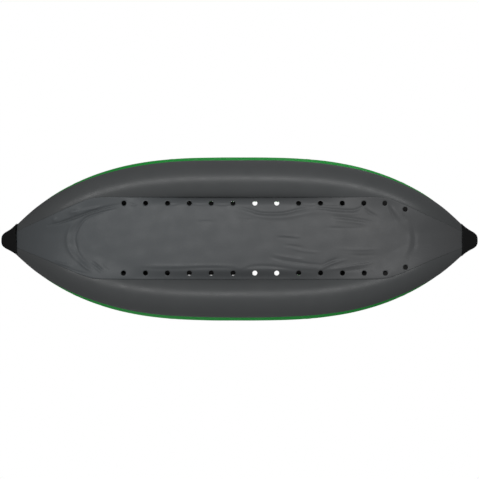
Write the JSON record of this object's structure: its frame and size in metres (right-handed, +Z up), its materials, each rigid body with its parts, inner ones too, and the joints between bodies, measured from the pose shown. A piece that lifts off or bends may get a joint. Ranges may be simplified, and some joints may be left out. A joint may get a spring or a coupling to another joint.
{
  "type": "inflatable kayak",
  "caption": "Self-bailing solo inflatable kayak with side tubes, drop-stitch floor in a perforated bottom sheet, folding seat, valves and carry handles.",
  "frame": {"origin": "centre of the hull's footprint, on the ground under the tubes", "axes": "+X to the bow, +Y to port, +Z up"},
  "size_m": [2.898, 0.9466, 0.5064],
  "materials": {
    "floor_grey": "grey PVC-coated drop-stitch floor, satin",
    "hull_grey": "dark grey PVC-coated fabric, satin",
    "rubber_black": "black moulded rubber, matt",
    "seat_fabric": "black woven seat fabric over foam",
    "steel": "polished stainless steel",
    "tube_green": "green PVC-coated fabric, satin",
    "valve_black": "black moulded plastic, satin",
    "webbing_black": "black polyester webbing and cord"
  },
  "bodies": {
    "hull": {"bottom_sheet_bow": "hull_grey", "bottom_sheet_centre": "hull_grey", "bottom_sheet_stern": "hull_grey", "bow_deck_panel": "rubber_black", "bow_nose_cap": "rubber_black", "floor_mattress": "floor_grey", "floor_valve_body": "valve_black", "floor_valve_spring": "steel", "port_aft_section": "tube_green", "port_bow_cone": "tube_green", "port_centre_section": "tube_green", "port_forward_section": "tube_green", "port_front_ring": "steel", "port_front_ring_patch": "rubber_black", "port_front_strap": "webbing_black", "port_front_strap_buckle": "valve_black", "port_rear_ring": "steel", "port_rear_ring_patch": "rubber_black", "port_rear_strap": "webbing_black", "port_rear_strap_buckle": "valve_black", "port_stern_cone": "tube_green", "port_tube_valve_body": "valve_black", "port_tube_valve_spring": "steel", "port_wear_panel": "hull_grey", "relief_valve_body": "valve_black", "relief_valve_cap": "rubber_black", "seat_base": "seat_fabric", "seat_hinge_strip": "seat_fabric", "starboard_aft_section": "tube_green", "starboard_bow_cone": "tube_green", "starboard_centre_section": "tube_green", "starboard_forward_section": "tube_green", "starboard_front_ring": "steel", "starboard_front_ring_patch": "rubber_black", "starboard_front_strap": "webbing_black", "starboard_front_strap_buckle": "valve_black", "starboard_rear_ring": "steel", "starboard_rear_ring_patch": "rubber_black", "starboard_rear_strap": "webbing_black", "starboard_rear_strap_buckle": "valve_black", "starboard_stern_cone": "tube_green", "starboard_tube_valve_body": "valve_black", "starboard_tube_valve_spring": "steel", "starboard_wear_panel": "hull_grey", "stern_deck_panel": "rubber_black", "stern_nose_cap": "rubber_black"},
    "seat_back": {"seat_back": "seat_fabric"},
    "bow_handle": {"bow_handle_cord": "webbing_black", "bow_handle_grip": "rubber_black"},
    "stern_handle": {"stern_handle_cord": "webbing_black", "stern_handle_grip": "rubber_black"},
    "bow_tie_ring": {"bow_tie_ring": "steel"},
    "stern_tie_ring": {"stern_tie_ring": "steel"},
    "port_tube_valve_cap": {"port_tube_valve_cap": "valve_black"},
    "port_tube_valve_plunger": {"port_tube_valve_plunger": "valve_black"},
    "starboard_tube_valve_cap": {"starboard_tube_valve_cap": "valve_black"},
    "starboard_tube_valve_plunger": {"starboard_tube_valve_plunger": "valve_black"},
    "floor_valve_cap": {"floor_valve_cap": "valve_black"},
    "floor_valve_plunger": {"floor_valve_plunger": "valve_black"}
  },
  "joints": [
    {"name": "seat_back_fold", "type": "hinge", "parent": "hull", "child": "seat_back", "pos_m": [-0.382, 0, 0.17027], "axis": [0, 1, 0], "range_deg": [-6, 95], "deforming": ["seat_hinge_strip", "port_front_strap", "port_rear_strap", "starboard_front_strap", "starboard_rear_strap"]},
    {"name": "port_tube_valve_cap_open", "type": "hinge", "parent": "hull", "child": "port_tube_valve_cap", "pos_m": [-0.65238, 0.27754, 0.26924], "axis": [0.1722, -0.9677, -0.1841], "range_deg": [0, 115]},
    {"name": "port_tube_valve_press", "type": "slide", "parent": "hull", "child": "port_tube_valve_plunger", "axis": [-0.0769, 0.1731, -0.9819], "range_m": [0, 0.006], "stiffness_N_per_m": 500, "springref_m": -0.004, "deforming": ["port_tube_valve_spring"]},
    {"name": "starboard_tube_valve_cap_open", "type": "hinge", "parent": "hull", "child": "starboard_tube_valve_cap", "pos_m": [-0.65238, -0.27754, 0.26924], "axis": [-0.1722, -0.9677, 0.1841], "range_deg": [0, 115]},
    {"name": "starboard_tube_valve_press", "type": "slide", "parent": "hull", "child": "starboard_tube_valve_plunger", "axis": [-0.0769, -0.1731, -0.9819], "range_m": [0, 0.006], "stiffness_N_per_m": 500, "springref_m": -0.004, "deforming": ["starboard_tube_valve_spring"]},
    {"name": "floor_valve_cap_open", "type": "hinge", "parent": "hull", "child": "floor_valve_cap", "pos_m": [0.74597, 0, 0.12398], "axis": [0, -1, 0], "range_deg": [0, 115]},
    {"name": "floor_valve_press", "type": "slide", "parent": "hull", "child": "floor_valve_plunger", "axis": [0.1049, 0, -0.9945], "range_m": [0, 0.006], "stiffness_N_per_m": 500, "springref_m": -0.004, "deforming": ["floor_valve_spring"]},
    {"name": "bow_tie_ring_swing", "type": "hinge", "parent": "hull", "child": "bow_tie_ring", "pos_m": [1.07445, 0, 0.31832], "axis": [0, 1, 0], "range_deg": [0, 165]},
    {"name": "stern_tie_ring_swing", "type": "hinge", "parent": "hull", "child": "stern_tie_ring", "pos_m": [-1.07445, 0, 0.31832], "axis": [0, -1, 0], "range_deg": [0, 165]},
    {"name": "bow_handle_lift", "type": "hinge", "parent": "hull", "child": "bow_handle", "pos_m": [1.14914, 0, 0.33275], "axis": [0, -1, 0], "range_deg": [0, 120]},
    {"name": "stern_handle_lift", "type": "hinge", "parent": "hull", "child": "stern_handle", "pos_m": [-1.14914, 0, 0.33275], "axis": [0, 1, 0], "range_deg": [0, 120]}
  ]
}
